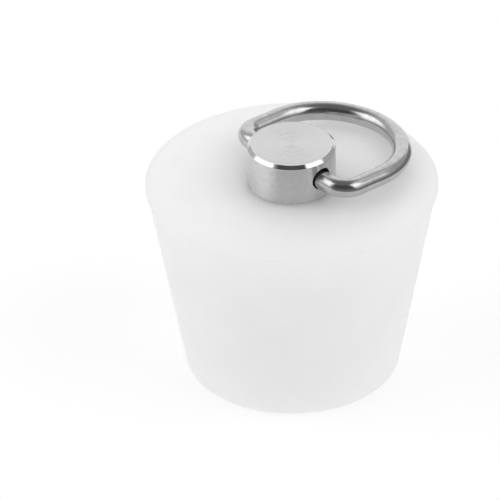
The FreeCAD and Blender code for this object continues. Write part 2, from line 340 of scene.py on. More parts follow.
@dataclass(frozen=True)
class MilkySilicone:
    """Moulded silicone: light soaks in and comes out nearby, under a satin skin with faint clouding.

    Attributes:
        clear: Colour of the clearer parts.
        cloudy: Colour of the cloudier parts.
        soak: How far light travels inside.
        gloss: Least and most roughness of the skin.
        refraction: Its index of refraction.
        cloud_scale: Clouds to the metre.
        skin_scale: Grains of the skin to the metre.
        skin_depth: Depth of the grains.
    """

    clear: Colour = (0.90, 0.90, 0.90, 1)
    cloudy: Colour = (0.93, 0.93, 0.93, 1)
    soak: float = 16 * MM
    gloss: tuple[float, float] = (0.38, 0.50)
    refraction: float = 1.41
    cloud_scale: float = 90
    skin_scale: float = 1800
    skin_depth: float = 0.004 * MM

    def material(self) -> bpy.types.Material:
        """Makes the silicone."""
        material, board, shader = new_material("milky_silicone")
        place = board.add("ShaderNodeTexCoord").outputs["Object"]
        clouds = board.ranged(board.noise(place, self.cloud_scale, detail=3), 0, 1)
        skin = board.noise(place, self.skin_scale, detail=3)
        tint = board.add("ShaderNodeMix", {0: clouds, 6: self.clear, 7: self.cloudy}, data_type="RGBA")
        board.feed(
            shader,
            {
                "Base Color": tint.outputs[2],
                "Roughness": board.ranged(skin, *self.gloss),
                "IOR": self.refraction,
                "Subsurface Weight": 1.0,
                "Subsurface Radius": (1, 1, 1),
                "Subsurface Scale": self.soak,
                "Normal": board.bump(skin, self.skin_depth),
            },
        )
        return material


class Marks(Enum):
    """Which way a tool's marks run on turned steel."""

    FACING = "rings about the axis, from facing the end"
    TURNING = "rings one above the other, from turning the side"


@dataclass(frozen=True)
class TurnedSteel:
    """Stainless steel off the lathe, with the tool's fine rings and a faint mottle.

    Attributes:
        name: The material's name.
        marks: Which way the rings run.
        colour: What it reflects.
        gloss: Least and most roughness.
        spread: How far highlights stretch across the rings, from 0 to 1.
        ring_scale: Rings to the metre.
        ring_depth: Depth of the rings.
        mottle_scale: Patches of mottle to the metre.
        mottle: How much the colour varies with them, as a share.
    """

    name: str
    marks: Marks
    colour: Colour = (0.64, 0.64, 0.64, 1)
    gloss: tuple[float, float] = (0.22, 0.30)
    spread: float = 0.0
    ring_scale: float = 4500
    ring_depth: float = 0.002 * MM
    mottle_scale: float = 700
    mottle: float = 0.03

    def material(self) -> bpy.types.Material:
        """Makes the steel."""
        material, board, shader = new_material(self.name)
        place = board.add("ShaderNodeTexCoord").outputs["Object"]
        if self.marks is Marks.FACING:
            level = board.scaled((1, 1, 0), place)
            run = board.add("ShaderNodeVectorMath", {0: level}, operation="LENGTH").outputs["Value"]
        else:
            run = board.add("ShaderNodeSeparateXYZ", {0: place}).outputs["Z"]
        rings = board.line_noise(run, self.ring_scale)
        mottle = board.noise(place, self.mottle_scale, detail=3)
        tint = {"Value": board.ranged(mottle, 1 - self.mottle, 1 + self.mottle), "Color": self.colour}
        board.feed(
            shader,
            {
                "Base Color": board.add("ShaderNodeHueSaturation", tint).outputs[0],
                "Metallic": 1.0,
                "Roughness": board.ranged(mottle, *self.gloss),
                "Anisotropic": self.spread,
                "Anisotropic Rotation": ACROSS_THE_RINGS,
                "Tangent": board.add("ShaderNodeTangent", direction_type="RADIAL", axis="Z").outputs[0],
                "Normal": board.bump(rings, self.ring_depth),
            },
        )
        return material


@dataclass(frozen=True)
class PolishedWire:
    """Drawn and polished stainless wire: fine lines along its length, and soft scuffs.

    Attributes:
        colour: What it reflects.
        gloss: Least and most roughness.
        line_stretch: Lines to the metre along the wire and round it.
        line_depth: Depth of the lines.
        scuff_scale: Scuffs to the metre.
        scuff: How much the colour varies with them, as a share.
    """

    colour: Colour = (0.53, 0.53, 0.53, 1)
    gloss: tuple[float, float] = (0.12, 0.22)
    line_stretch: tuple[float, float, float] = (90, 4200, 1)
    line_depth: float = 0.002 * MM
    scuff_scale: float = 750
    scuff: float = 0.08

    def material(self) -> bpy.types.Material:
        """Makes the wire's steel."""
        material, board, shader = new_material("polished_wire")
        laid = board.add("ShaderNodeUVMap", uv_map="laid_flat").outputs[0]
        place = board.add("ShaderNodeTexCoord").outputs["Object"]
        lines = board.noise(board.scaled(self.line_stretch, laid), 1)
        scuffs = board.noise(place, self.scuff_scale, detail=4)
        tint = {"Value": board.ranged(scuffs, 1 + self.scuff, 1 - self.scuff), "Color": self.colour}
        board.feed(
            shader,
            {
                "Base Color": board.add("ShaderNodeHueSaturation", tint).outputs[0],
                "Metallic": 1.0,
                "Roughness": board.ranged(scuffs, *self.gloss),
                "Normal": board.bump(lines, self.line_depth),
            },
        )
        return material


# Pieces


@dataclass
class Piece:
    """A sub-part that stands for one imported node."""

    name: ClassVar[str]
    node: ClassVar[str]
    slot: ClassVar[str]
    body: ClassVar[Body] = Body.STOPPER

    def patches(self) -> list[Patch]:
        """Works out the piece's surface."""
        raise NotImplementedError

    def finishes(self) -> list[Finish]:
        """Gives the piece's finishes, in the order of its zones."""
        raise NotImplementedError

    def build(self) -> bpy.types.Object:
        """Makes the mesh, dresses it and sets it on its body in place of its node."""
        made = weld(self.name, self.patches())
        for finish in self.finishes():
            made.data.materials.append(finish.material())
        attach(made, self.body.value)
        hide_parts(self.node)
        return made


@dataclass
class Plug(Piece):
    """The silicone: a lip round the top, a tapered wall, the screw's bore and the pocket for its head."""

    name: ClassVar[str] = "silicone_plug"
    node: ClassVar[str] = "stopper_body"
    slot: ClassVar[str] = "silicone"

    base_flat_radius: float = 18.5 * MM
    base_round: float = 1.0 * MM
    lip_height: float = 1.1 * MM
    lip_overhang: float = 0.3 * MM
    lip_round: float = 0.25 * MM
    lip_root_round: float = 0.12 * MM
    pocket_radius: float = 8.0 * MM
    pocket_depth: float = 5.4 * MM
    pocket_mouth_round: float = 0.6 * MM
    pocket_end_round: float = 0.3 * MM
    bore_radius: float = 2.6 * MM
    columns: int = 288

    def base_corner_radius(self, wall_top_radius: float, lip_underside: float) -> float:
        """Finds where the side wall, touching the base's round, would meet the base.

        The wall leans out by t for each unit of height. It passes the round's centre at a distance
        equal to the round's radius q: run - t rise = q times the root of 1 + t squared, where run
        and rise go from that centre to the wall's top, and t follows from that square.

        Args:
            wall_top_radius: Radius of the wall under the lip.
            lip_underside: Height of the lip's underside.

        Returns:
            The corner's radius.
        """
        q = self.base_round
        run = wall_top_radius - self.base_flat_radius
        rise = lip_underside - q
        lean = (run * rise - q * math.sqrt(run**2 + rise**2 - q**2)) / (rise**2 - q**2)
        return wall_top_radius - lean * lip_underside

    def patches(self) -> list[Patch]:
        """Turns the outline once round, from the bore up over the top and back through the pocket."""
        low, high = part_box(self.node)
        lip_radius, top = high.x, high.z
        lip_underside = top - self.lip_height
        wall_top = lip_radius - self.lip_overhang
        halfway = (self.pocket_depth + top) / 2
        profile = outline(
            [
                (self.bore_radius, halfway, 0),
                (self.bore_radius, top, 0),
                (lip_radius, top, self.lip_round),
                (lip_radius, lip_underside, self.lip_round),
                (wall_top, lip_underside, self.lip_root_round),
                (self.base_corner_radius(wall_top, lip_underside), low.z, self.base_round),
                (self.pocket_radius, low.z, self.pocket_mouth_round),
                (self.pocket_radius, self.pocket_depth, self.pocket_end_round),
                (self.bore_radius, self.pocket_depth, 0),
                (self.bore_radius, halfway, 0),
            ]
        )
        return [turned(profile, around(self.columns))]

    def finishes(self) -> list[Finish]:
        """Gives the silicone."""
        return [MilkySilicone()]


@dataclass
class Knob(Piece):
    """The turned knob: faced top, polished chamfer, satin side, a cross hole and a tapped hole.

    Each wall with the cross hole in it is laid out as spokes from the hole's edge to a rectangle on
    the wall. The tapped hole's rectangle is the outer wall's, shrunk towards the hole's axis, so the
    same spokes serve both walls and the hole between them.
    """

    name: ClassVar[str] = "turned_knob"
    node: ClassVar[str] = "knob"
    slot: ClassVar[str] = "turned_steel"

    chamfer: float = 0.6 * MM
    chamfer_round: float = 0.05 * MM
    foot_chamfer: float = 0.2 * MM
    foot_round: float = 0.04 * MM
    band: float = 0.1 * MM
    hole_radius: float = 2.05 * MM
    hole_height: float = 4.15 * MM
    hole_break: float = 0.14 * MM
    tapped_radius: float = 2.55 * MM
    tapped_depth: float = 6.7 * MM
    frame_half_width: float = 3.1 * MM
    shrink: float = 0.78
    ring_growth: float = 1.5
    side_spokes: int = 36
    end_spokes: int = 36
    free_columns: int = 110
    rings: int = 10

    def spokes(self, below: float, above: float) -> tuple[np.ndarray, np.ndarray]:
        """Lays out where spokes from the hole's axis meet the rectangle round it.

        Args:
            below: From the hole's axis down to the rectangle.
            above: From the hole's axis up to the rectangle.

        Returns:
            The spokes' ends across and up from the hole's axis, once round from the lower right
            corner and back to it, as the right side, the top, the left side and the bottom.
        """
        half = self.frame_half_width
        rise = np.linspace(-below, above, self.side_spokes + 1)
        span = np.linspace(half, -half, self.end_spokes + 1)
        across = [np.full_like(rise, half), span, np.full_like(rise, -half), span[::-1]]
        up = [rise, np.full_like(span, above), rise[::-1], np.full_like(span, -below)]
        return np.concatenate(across), np.concatenate(up)

    def on_wall(self, radius: float, across: np.ndarray, up: np.ndarray) -> np.ndarray:
        """Puts points given across and up from the hole's axis onto a wall of this radius."""
        return np.stack([np.sqrt(radius**2 - across**2), across, up], axis=-1)

    def drilled(self, radius: float, across: np.ndarray, up: np.ndarray, hole: float) -> np.ndarray:
        """Fills a wall from the hole's edge to a rectangle, straight on the wall unrolled.

        Args:
            radius: Radius of the wall.
            across: Across from the hole's axis to the rectangle, for each spoke.
            up: Up from the hole's axis to the rectangle.
            hole: Radius of the hole's edge, on which each spoke keeps its own direction.

        Returns:
            One row for each ring of points round the hole.
        """
        length = np.hypot(across, up)
        inner = np.stack([np.arcsin(hole * across / length / radius), hole * up / length], axis=-1)
        outer = np.stack([np.arcsin(across / radius), up], axis=-1)
        laid = between(inner, outer, np.linspace(0, 1, self.rings + 1) ** self.ring_growth)
        return self.on_wall(radius, radius * np.sin(laid[..., 0]), laid[..., 1])

    def hole_lining(self, radius: float, across: np.ndarray, up: np.ndarray) -> np.ndarray:
        """Lines the cross hole from its broken edge on the outer wall to the tapped hole.

        The broken edge is a quarter round: at a share t of a right angle the hole is wider by its
        size times 1 - sin(t), and the steel is lower by its size times 1 - cos(t).

        Args:
            radius: Radius of the outer wall.
            across: Across from the hole's axis, for each spoke.
            up: Up from the hole's axis.

        Returns:
            One row for each ring of points along the hole.
        """
        length = np.hypot(across, up)
        quarter = np.linspace(0, math.pi / 2, ROUND_STEPS + 1)[:, None]
        wide = self.hole_radius + self.hole_break * (1 - np.sin(quarter))
        edge = self.on_wall(radius, wide * across / length, wide * up / length)
        edge[..., 0] -= self.hole_break * (1 - np.cos(quarter))
        end = self.on_wall(
            self.tapped_radius, self.hole_radius * across / length, self.hole_radius * up / length
        )
        return np.concatenate([edge, between(edge[-1], end, np.linspace(0, 1, self.rings + 1)[1:])])

    def half_turned(self, grid: np.ndarray) -> np.ndarray:
        """Turns a grid by half a turn about Z."""
        return grid * np.array([-1, -1, 1])

    def ring_angles(self, radius: float, half_width: float) -> np.ndarray:
        """Gives the angles of a full ring of points that meets both rectangles' level sides.

        Args:
            radius: Radius of the wall.
            half_width: Half the rectangles' width.

        Returns:
            The angles, from the first rectangle's edge once round.
        """
        level = np.arcsin(np.linspace(-half_width, half_width, self.end_spokes + 1) / radius)
        free = np.linspace(level[-1], math.pi + level[0], self.free_columns + 1)
        half = np.concatenate([level, free[1:]])
        return np.concatenate([half, math.pi + half[1:]])

    def wall(self, radius: float, scale: float, hole: float, axis_height: float) -> list[Patch]:
        """Makes one wall with the cross hole through both of its sides.

        Args:
            radius: Radius of the wall.
            scale: Size of its rectangles, with 1 for the outer wall's.
            hole: Radius of the hole's edge.
            axis_height: Height of the hole's axis.

        Returns:
            The two drilled parts and the two plain parts between them.
        """
        across, up = self.spokes(*self.reach())
        drilled = self.drilled(radius, across * scale, up * scale, hole)
        half = self.frame_half_width * scale
        start = math.asin(half / radius)
        angles = np.linspace(start, math.pi - start, self.free_columns + 1)
        heights = np.linspace(-self.reach()[0], self.reach()[1], self.side_spokes + 1) * scale
        plain = turned(np.stack([np.full_like(heights, radius), heights], axis=-1), angles).points
        lift = np.array([0, 0, axis_height])
        grids = (drilled, self.half_turned(drilled), plain, self.half_turned(plain))
        return [Patch(grid + lift, Zone.SECOND) for grid in grids]

    def reach(self) -> tuple[float, float]:
        """Gives how far the outer wall's rectangle reaches below and above the hole's axis."""
        low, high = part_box(self.node)
        below = self.hole_height - self.foot_chamfer - self.band
        above = high.z - low.z - self.chamfer - self.band - self.hole_height
        return below, above

    def patches(self) -> list[Patch]:
        """Puts together the crown, the side, the foot and the two holes."""
        low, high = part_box(self.node)
        radius, foot, top = high.x, low.z, high.z
        axis = foot + self.hole_height
        below, above = self.reach()
        inner_half = self.frame_half_width * self.shrink
        outer_angles = self.ring_angles(radius, self.frame_half_width)
        inner_angles = self.ring_angles(self.tapped_radius, inner_half)

        flat_edge, bevel_foot = radius - self.chamfer, top - self.chamfer
        crown = outline([(0, top, 0), (flat_edge, top, self.chamfer_round), (radius, bevel_foot, 0)])
        shoulder = outline(
            [(flat_edge, top, 0), (radius, bevel_foot, self.chamfer_round), (radius, axis + above, 0)]
        )
        bevel_start = len(crown) // 2
        foot_face = foot + self.foot_chamfer
        heel = outline(
            [
                (radius, axis - below, 0),
                (radius, foot_face, self.foot_round),
                (radius - self.foot_chamfer, foot, self.foot_round),
                ((radius + self.tapped_radius) / 2, foot, 0),
            ]
        )
        across, up = self.spokes(below, above)
        lining = self.hole_lining(radius, across, up) + np.array([0, 0, axis])
        return [
            turned(crown[: bevel_start + 1], outer_angles),
            turned(np.concatenate([crown[bevel_start:-2], shoulder[2:]]), outer_angles, Zone.THIRD),
            *self.wall(radius, 1, self.hole_radius + self.hole_break, axis),
            turned(heel, outer_angles, Zone.SECOND),
            *self.tapped_hole(foot, axis, inner_angles, outer_angles),
            Patch(lining, Zone.SECOND),
            Patch(self.half_turned(lining), Zone.SECOND),
        ]

    def tapped_hole(
        self, foot: float, axis: float, inner_angles: np.ndarray, outer_angles: np.ndarray
    ) -> list[Patch]:
        """Makes the tapped hole with the cross hole's mouths, and the foot's face round it.

        Args:
            foot: Height of the knob's base.
            axis: Height of the cross hole's axis.
            inner_angles: Angles of the tapped hole's ring of points.
            outer_angles: Angles of the outer wall's ring of points.

        Returns:
            The face, the hole's lower and upper ends and its drilled wall.
        """
        below, above = (reach * self.shrink for reach in self.reach())
        hole, end = self.tapped_radius, foot + self.tapped_depth
        middle = (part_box(self.node)[1].x + hole) / 2
        outer = turned(np.array([[middle, foot]]), outer_angles).points[0]
        inner = turned(np.array([[hole, foot]]), inner_angles).points[0]
        lower = np.array([[hole, foot], [hole, axis - below]])
        upper = np.array([[hole, axis + above], [hole, end], [0, end]])
        return [
            Patch(between(outer, inner, np.linspace(0, 1, self.rings)), Zone.SECOND),
            turned(lower, inner_angles, Zone.SECOND),
            turned(upper, inner_angles, Zone.SECOND),
            *self.wall(hole, self.shrink, self.hole_radius, axis),
        ]

    def finishes(self) -> list[Finish]:
        """Gives the faced top, the satin side and the polished chamfer."""
        return [
            TurnedSteel(
                "faced_steel",
                Marks.FACING,
                spread=0.4,
                ring_scale=1800,
                ring_depth=0.035 * MM,
                mottle=0.015,
            ),
            TurnedSteel(
                "satin_steel",
                Marks.TURNING,
                colour=(0.71, 0.71, 0.71, 1),
                gloss=(0.34, 0.42),
                spread=0.88,
                mottle_scale=1100,
                mottle=0.07,
            ),
            TurnedSteel("polished_chamfer", Marks.TURNING, gloss=(0.06, 0.09), ring_depth=0.0002 * MM),
        ]


@dataclass
class PullRing(Piece):
    """One length of wire bent to a D, its ends turned in as the pins that it hinges on."""

    name: ClassVar[str] = "wire_ring"
    node: ClassVar[str] = "pull_ring"
    slot: ClassVar[str] = "polished_wire"
    body: ClassVar[Body] = Body.RING

    wire_radius: float = 1.75 * MM
    pin_end: float = 3.5 * MM
    tip_chamfer: float = 0.4 * MM
    bend_radius: float = 3.4 * MM
    leg_length: float = 5.6 * MM
    bend_steps: int = 40
    arc_steps: int = 150
    run_steps: int = 10
    sides: int = 72

    def run(self, start: tuple[float, float], end: tuple[float, float]) -> np.ndarray:
        """Lays out a straight stretch as rows of x, y and the way it heads."""
        shares = np.linspace(0, 1, self.run_steps + 1)[:, None]
        places = np.array(start) * (1 - shares) + np.array(end) * shares
        heading = math.atan2(end[1] - start[1], end[0] - start[0])
        return np.column_stack([places, np.full(len(places), heading)])

    def bend(
        self, centre: tuple[float, float], radius: float, first: float, last: float, steps: int
    ) -> np.ndarray:
        """Lays out an arc, turning left, as rows of x, y and the way it heads, square to its spoke."""
        angles = np.linspace(math.radians(first), math.radians(last), steps + 1)
        x = centre[0] + radius * np.cos(angles)
        y = centre[1] + radius * np.sin(angles)
        return np.column_stack([x, y, angles + math.pi / 2])

    def centreline(self, half: float) -> np.ndarray:
        """Lays out the wire's middle, flat in XY, from the right pin's end round to the left one's.

        Args:
            half: Half the width between the two legs' middles.

        Returns:
            Rows of x, y and the way that the wire heads there.
        """
        bend, elbow = self.bend_radius, half - self.bend_radius
        shoulder = bend + self.leg_length
        return np.concatenate(
            [
                self.run((self.pin_end, 0), (elbow, 0)),
                self.bend((elbow, bend), bend, -90, 0, self.bend_steps)[1:],
                self.run((half, bend), (half, shoulder))[1:],
                self.bend((0, shoulder), half, 0, 180, self.arc_steps)[1:],
                self.run((-half, shoulder), (-half, bend))[1:],
                self.bend((-elbow, bend), bend, 180, 270, self.bend_steps)[1:],
                self.run((-elbow, 0), (-self.pin_end, 0))[1:],
            ]
        )

    def tips(self, line: np.ndarray) -> tuple[np.ndarray, np.ndarray]:
        """Adds the rows that close and chamfer the wire's two ends.

        Args:
            line: The centreline's rows.

        Returns:
            The longer centreline, and the wire's radius at each of its rows.
        """
        start, end = line[0], line[-1]
        inward = np.array([self.tip_chamfer, 0, 0])
        rows = np.concatenate([[start, start, start + inward], line[1:-1], [end - inward, end, end]])
        radius = np.full(len(rows), self.wire_radius)
        radius[[0, -1]] = 0
        radius[[1, -2]] = self.wire_radius - self.tip_chamfer
        return rows, radius

    def patches(self) -> list[Patch]:
        """Carries a circle along the centreline, then droops the ring about its pins to where it rests.

        A point at an angle round the wire lies at the radius times cos along the wire's own side and
        sin along the ring's flat. The droop's sine is how far the round end lies below the pins,
        over the ring's reach.
        """
        low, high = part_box(self.node)
        half = high.x - self.wire_radius
        reach = self.bend_radius + self.leg_length + half
        pivot = np.array(frame["joints"][0]["pos_m"])
        droop = math.asin((pivot[2] - self.wire_radius - low.z) / reach)

        rows, radius = self.tips(self.centreline(half))
        angles = around(self.sides)
        side = rows[:, 2:] + math.pi / 2
        out, rise = radius[:, None] * np.cos(angles), radius[:, None] * np.sin(angles)
        x = rows[:, :1] + out * np.cos(side)
        y = rows[:, 1:2] + out * np.sin(side)
        level, down = math.cos(droop), math.sin(droop)
        points = np.stack([x, y * level + rise * down, rise * level - y * down], axis=-1)
        steps = np.hypot(np.diff(rows[:, 0]), np.diff(rows[:, 1]))
        along = np.concatenate([[0], np.cumsum(steps)])
        flat = np.stack(np.broadcast_arrays(along[:, None], angles * self.wire_radius), axis=-1)
        return [Patch(points + pivot, Zone.FIRST, flat)]

    def finishes(self) -> list[Finish]:
        """Gives the polished wire."""
        return [PolishedWire()]


@dataclass
class FixingScrew(Piece):
    """A pan-head machine screw, head down, with a cross recess and a rolled thread."""

    name: ClassVar[str] = "pan_head_screw"
    node: ClassVar[str] = "fixing_screw"
    slot: ClassVar[str] = "screw_steel"

    head_height: float = 3.7 * MM
    head_round: float = 2.0 * MM
    head_rim_round: float = 0.15 * MM
    thread_radius: float = 2.5 * MM
    thread_pitch: float = 0.8 * MM
    thread_depth: float = 0.49 * MM
    thread_flat: float = 0.125
    tip_chamfer: float = 0.6 * MM
    recess_span: float = 4.4 * MM
    recess_width: float = 1.1 * MM
    recess_depth: float = 2.2 * MM
    recess_draft: float = math.radians(8)
    edge_steps: int = 6
    rows_per_pitch: int = 8

    def cross(self, span: float, width: float) -> np.ndarray:
        """Draws a cross's outline once round from its right arm, in even steps along each edge.

        Args:
            span: Across the arms.
            width: Width of an arm.

        Returns:
            The points as x and y, the first one repeated at the end.
        """
        arm, half = span / 2, width / 2
        quarter = np.array([[arm, -half], [arm, half], [half, half]])
        turns = np.arange(4) * math.pi / 2
        spin = np.array([[np.cos(turns), -np.sin(turns)], [np.sin(turns), np.cos(turns)]])
        corners = np.einsum("ijk,lj->kli", spin, quarter).reshape(-1, 2)
        following = np.roll(corners, -1, axis=0)
        share = np.linspace(0, 1, self.edge_steps, endpoint=False)[None, :, None]
        points = (corners[:, None] * (1 - share) + following[:, None] * share).reshape(-1, 2)
        return np.concatenate([points, points[:1]])

    def recess(self, low: float) -> list[np.ndarray]:
        """Sinks the cross into the head: its flat end, its drafted walls, and the head's face round it.

        Args:
            low: Height of the head's lower face.

        Returns:
            Rings of points from the recess's middle out to its mouth.
        """
        inset = 2 * self.recess_depth * math.tan(self.recess_draft)
        mouth = self.cross(self.recess_span, self.recess_width)
        floor = self.cross(self.recess_span - inset, self.recess_width - inset)
        deep = np.full((len(floor), 1), low + self.recess_depth)
        bottom = np.column_stack([floor, deep])
        middle = np.column_stack([np.zeros_like(floor), deep])
        rim = np.column_stack([mouth, np.full(len(mouth), low)])
        return [middle, bottom, rim]

    def shank(self, angles: np.ndarray, low: float, high: float) -> np.ndarray:
        """Winds the thread: each row climbs one pitch in a turn, and rows past the ends are held there.

        The radius goes from root to crest and back over each pitch, with flats at both. It rises
        from the root over the first pitch under the head, and the chamfer cuts it at the tip.

        Args:
            angles: The angles of the columns, over one full turn.
            low: Height of the head's seat.
            high: Height of the tip.

        Returns:
            The grid, one row for each step of a pitch.
        """
        root = self.thread_radius - self.thread_depth
        steps = round((high - low) / self.thread_pitch) * self.rows_per_pitch
        row = np.arange(-self.rows_per_pitch, steps + 1)[:, None]
        turn = (angles - angles[0]) / FULL_TURN
        z = np.clip(low + (row / self.rows_per_pitch + turn) * self.thread_pitch, low, high)
        wave = 1 - np.abs(2 * (row / self.rows_per_pitch % 1) - 1)
        crest = np.clip((wave - self.thread_flat) / (1 - 2 * self.thread_flat), 0, 1)
        grown = root + self.thread_depth * crest * ease((z - low) / self.thread_pitch)
        r = np.minimum(grown, self.thread_radius - self.tip_chamfer + high - z)
        return np.stack([r * np.cos(angles), r * np.sin(angles), z], axis=-1)

    def patches(self) -> list[Patch]:
        """Puts together the recess, the pan head, the thread and the tip."""
        low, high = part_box(self.node)
        head_radius, seat = high.x, low.z + self.head_height
        rings = self.recess(low.z)
        angles = np.unwrap(np.arctan2(rings[-1][:, 1], rings[-1][:, 0]))
        flat_radius = head_radius - self.head_round
        root = self.thread_radius - self.thread_depth
        head = outline(
            [
                (flat_radius - BRACE, low.z, 0),
                (head_radius, low.z, self.head_round),
                (head_radius, seat, self.head_rim_round),
                (root, seat, 0),
            ]
        )
        tip = np.array([[self.thread_radius - self.tip_chamfer, high.z], [0, high.z]])
        face = turned(head[:1], angles).points[0]
        shares = np.linspace(0, 1, self.edge_steps + 1)
        return [
            Patch(between(rings[0], rings[1], shares)),
            Patch(between(rings[1], rings[2], shares)),
            Patch(between(rings[2], face, shares)),
            turned(head, angles),
            Patch(self.shank(angles, seat, high.z)),
            turned(tip, angles),
        ]

    def finishes(self) -> list[Finish]:
        """Gives plain cold-formed steel."""
        return [TurnedSteel("screw_steel", Marks.FACING, gloss=(0.20, 0.34), ring_depth=0.0008 * MM)]


@dataclass
class Washer(Piece):
    """The stamped washer between the screw's head and the silicone."""

    name: ClassVar[str] = "flat_washer"
    node: ClassVar[str] = "washer"
    slot: ClassVar[str] = "washer_steel"

    hole_radius: float = 2.65 * MM
    punched_round: float = 0.3 * MM
    burr_round: float = 0.06 * MM
    columns: int = 160

    def patches(self) -> list[Patch]:
        """Turns the section once round, starting halfway up the hole."""
        low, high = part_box(self.node)
        hole, rim = self.hole_radius, high.x
        halfway = (low.z + high.z) / 2
        section = outline(
            [
                (hole, halfway, 0),
                (hole, low.z, self.punched_round),
                (rim, low.z, self.punched_round),
                (rim, high.z, self.burr_round),
                (hole, high.z, self.burr_round),
                (hole, halfway, 0),
            ]
        )
        return [turned(section, around(self.columns))]

    def finishes(self) -> list[Finish]:
        """Gives tumbled sheet steel."""
        return [TurnedSteel("washer_steel", Marks.FACING, gloss=(0.30, 0.42), ring_depth=0.0004 * MM)]


# Studio and camera


def facing(azimuth: float, elevation: float) -> Vector:
    """Gives the direction from the stopper at an azimuth and elevation, with azimuth 0 along -Y."""
    level = math.cos(elevation)
    return Vector((math.sin(azimuth) * level, -math.cos(azimuth) * level, math.sin(elevation)))


def inside(margin: np.ndarray, soft: float) -> np.ndarray:
    """Gives 1 well inside an edge and 0 well outside it, with a smooth step of the soft width between."""
    return ease(margin / soft + 0.5)


@dataclass(frozen=True)
class Softbox:
    """A soft light: a lamp for surfaces, and the bright patch of the canopy that steel reflects.

    Attributes:
        name: The lamp's name.
        side: Azimuth of its middle to the right of the camera, in degrees.
        width: Degrees across.
        low: Elevation of its lower edge, in degrees.
        high: Elevation of its upper edge, in degrees.
        glow: Brightness of the patch, with 1 for white.
        light: Brightness of the lamp's face.
        soft: Width of the patch's soft edge, in degrees.
        skirt: The same for its lower edge.
        distance: From the stopper to the lamp, in metres.
    """

    name: str
    side: float
    width: float
    low: float
    high: float
    glow: float
    light: float
    soft: float = 8
    skirt: float = 24
    distance: float = 0.8

    def patch(self, side: np.ndarray, rise: np.ndarray) -> np.ndarray:
        """Gives how much of each direction the patch fills, from 0 to 1."""
        across = (side - self.side + 180) % 360 - 180
        level = inside(self.width / 2 - np.abs(across), self.soft)
        return level * inside(rise - self.low, self.skirt) * inside(self.high - rise, self.soft)

    def place(self, azimuth: float, target: Vector) -> None:
        """Hangs the lamp, facing the target; its power is light times pi times its area."""
        lamp = bpy.data.lights.new(self.name, "AREA")
        lamp.shape = "RECTANGLE"
        lamp.size = 2 * self.distance * math.tan(math.radians(self.width) / 2)
        lamp.size_y = 2 * self.distance * math.tan(math.radians(self.high - self.low) / 2)
        lamp.energy = self.light * math.pi * lamp.size * lamp.size_y
        hung = bpy.data.objects.new(self.name, lamp)
        bpy.context.scene.collection.objects.link(hung)
        away = facing(azimuth + math.radians(self.side), math.radians(self.low + self.high) / 2)
        turn = (-away).to_track_quat("-Z", "Y").to_matrix().to_4x4()
        hung.matrix_world = Matrix.Translation(target + away * self.distance) @ turn
        hung.visible_camera = False
        hung.visible_glossy = False


def show_in_steel(card: bpy.types.Object, tones: np.ndarray) -> None:
    """Makes a backdrop that only the camera's own reflections see, and that lights nothing.

    Args:
        card: The backdrop.
        tones: How brightly it glows at each of its points, with 1 for white.
    """
    card.data.attributes.new("tone", "FLOAT", "POINT").data.foreach_set("value", tones)
    material, board, shader = new_material(card.name)
    tone = board.add("ShaderNodeAttribute", attribute_name="tone").outputs["Fac"]
    board.feed(
        shader,
        {
            "Base Color": (0, 0, 0, 1),
            "Specular IOR Level": 0.0,
            "Emission Color": (1, 1, 1, 1),
            "Emission Strength": tone,
        },
    )
    board.clear_where(board.add("ShaderNodeLightPath").outputs["Diffuse Depth"], shader)
    material.cycles.emission_sampling = "NONE"
    card.data.materials.append(material)
    for ray in ("camera", "diffuse", "transmission", "shadow"):
        setattr(card, f"visible_{ray}", False)


@dataclass(frozen=True)
class GreyCard:
    """A low card that stands on the floor to the right, for the ring's outer edge to reflect."""

    sides: tuple[float, float] = (-40, 142)
    height: float = 48 * MM
    radius: float = 100 * MM
    tone: float = 0.24
    columns: int = 80

    def build(self, azimuth: float) -> None:
        """Bends the card about the stopper's axis, at azimuths to the right of the camera's."""
        angles = azimuth + np.radians(np.linspace(*self.sides, self.columns + 1)) - math.pi / 2
        profile = np.array([[self.radius, 0], [self.radius, self.height]])
        card = weld("grey_card", [turned(profile, angles)])
        show_in_steel(card, np.full(len(card.data.vertices), self.tone))


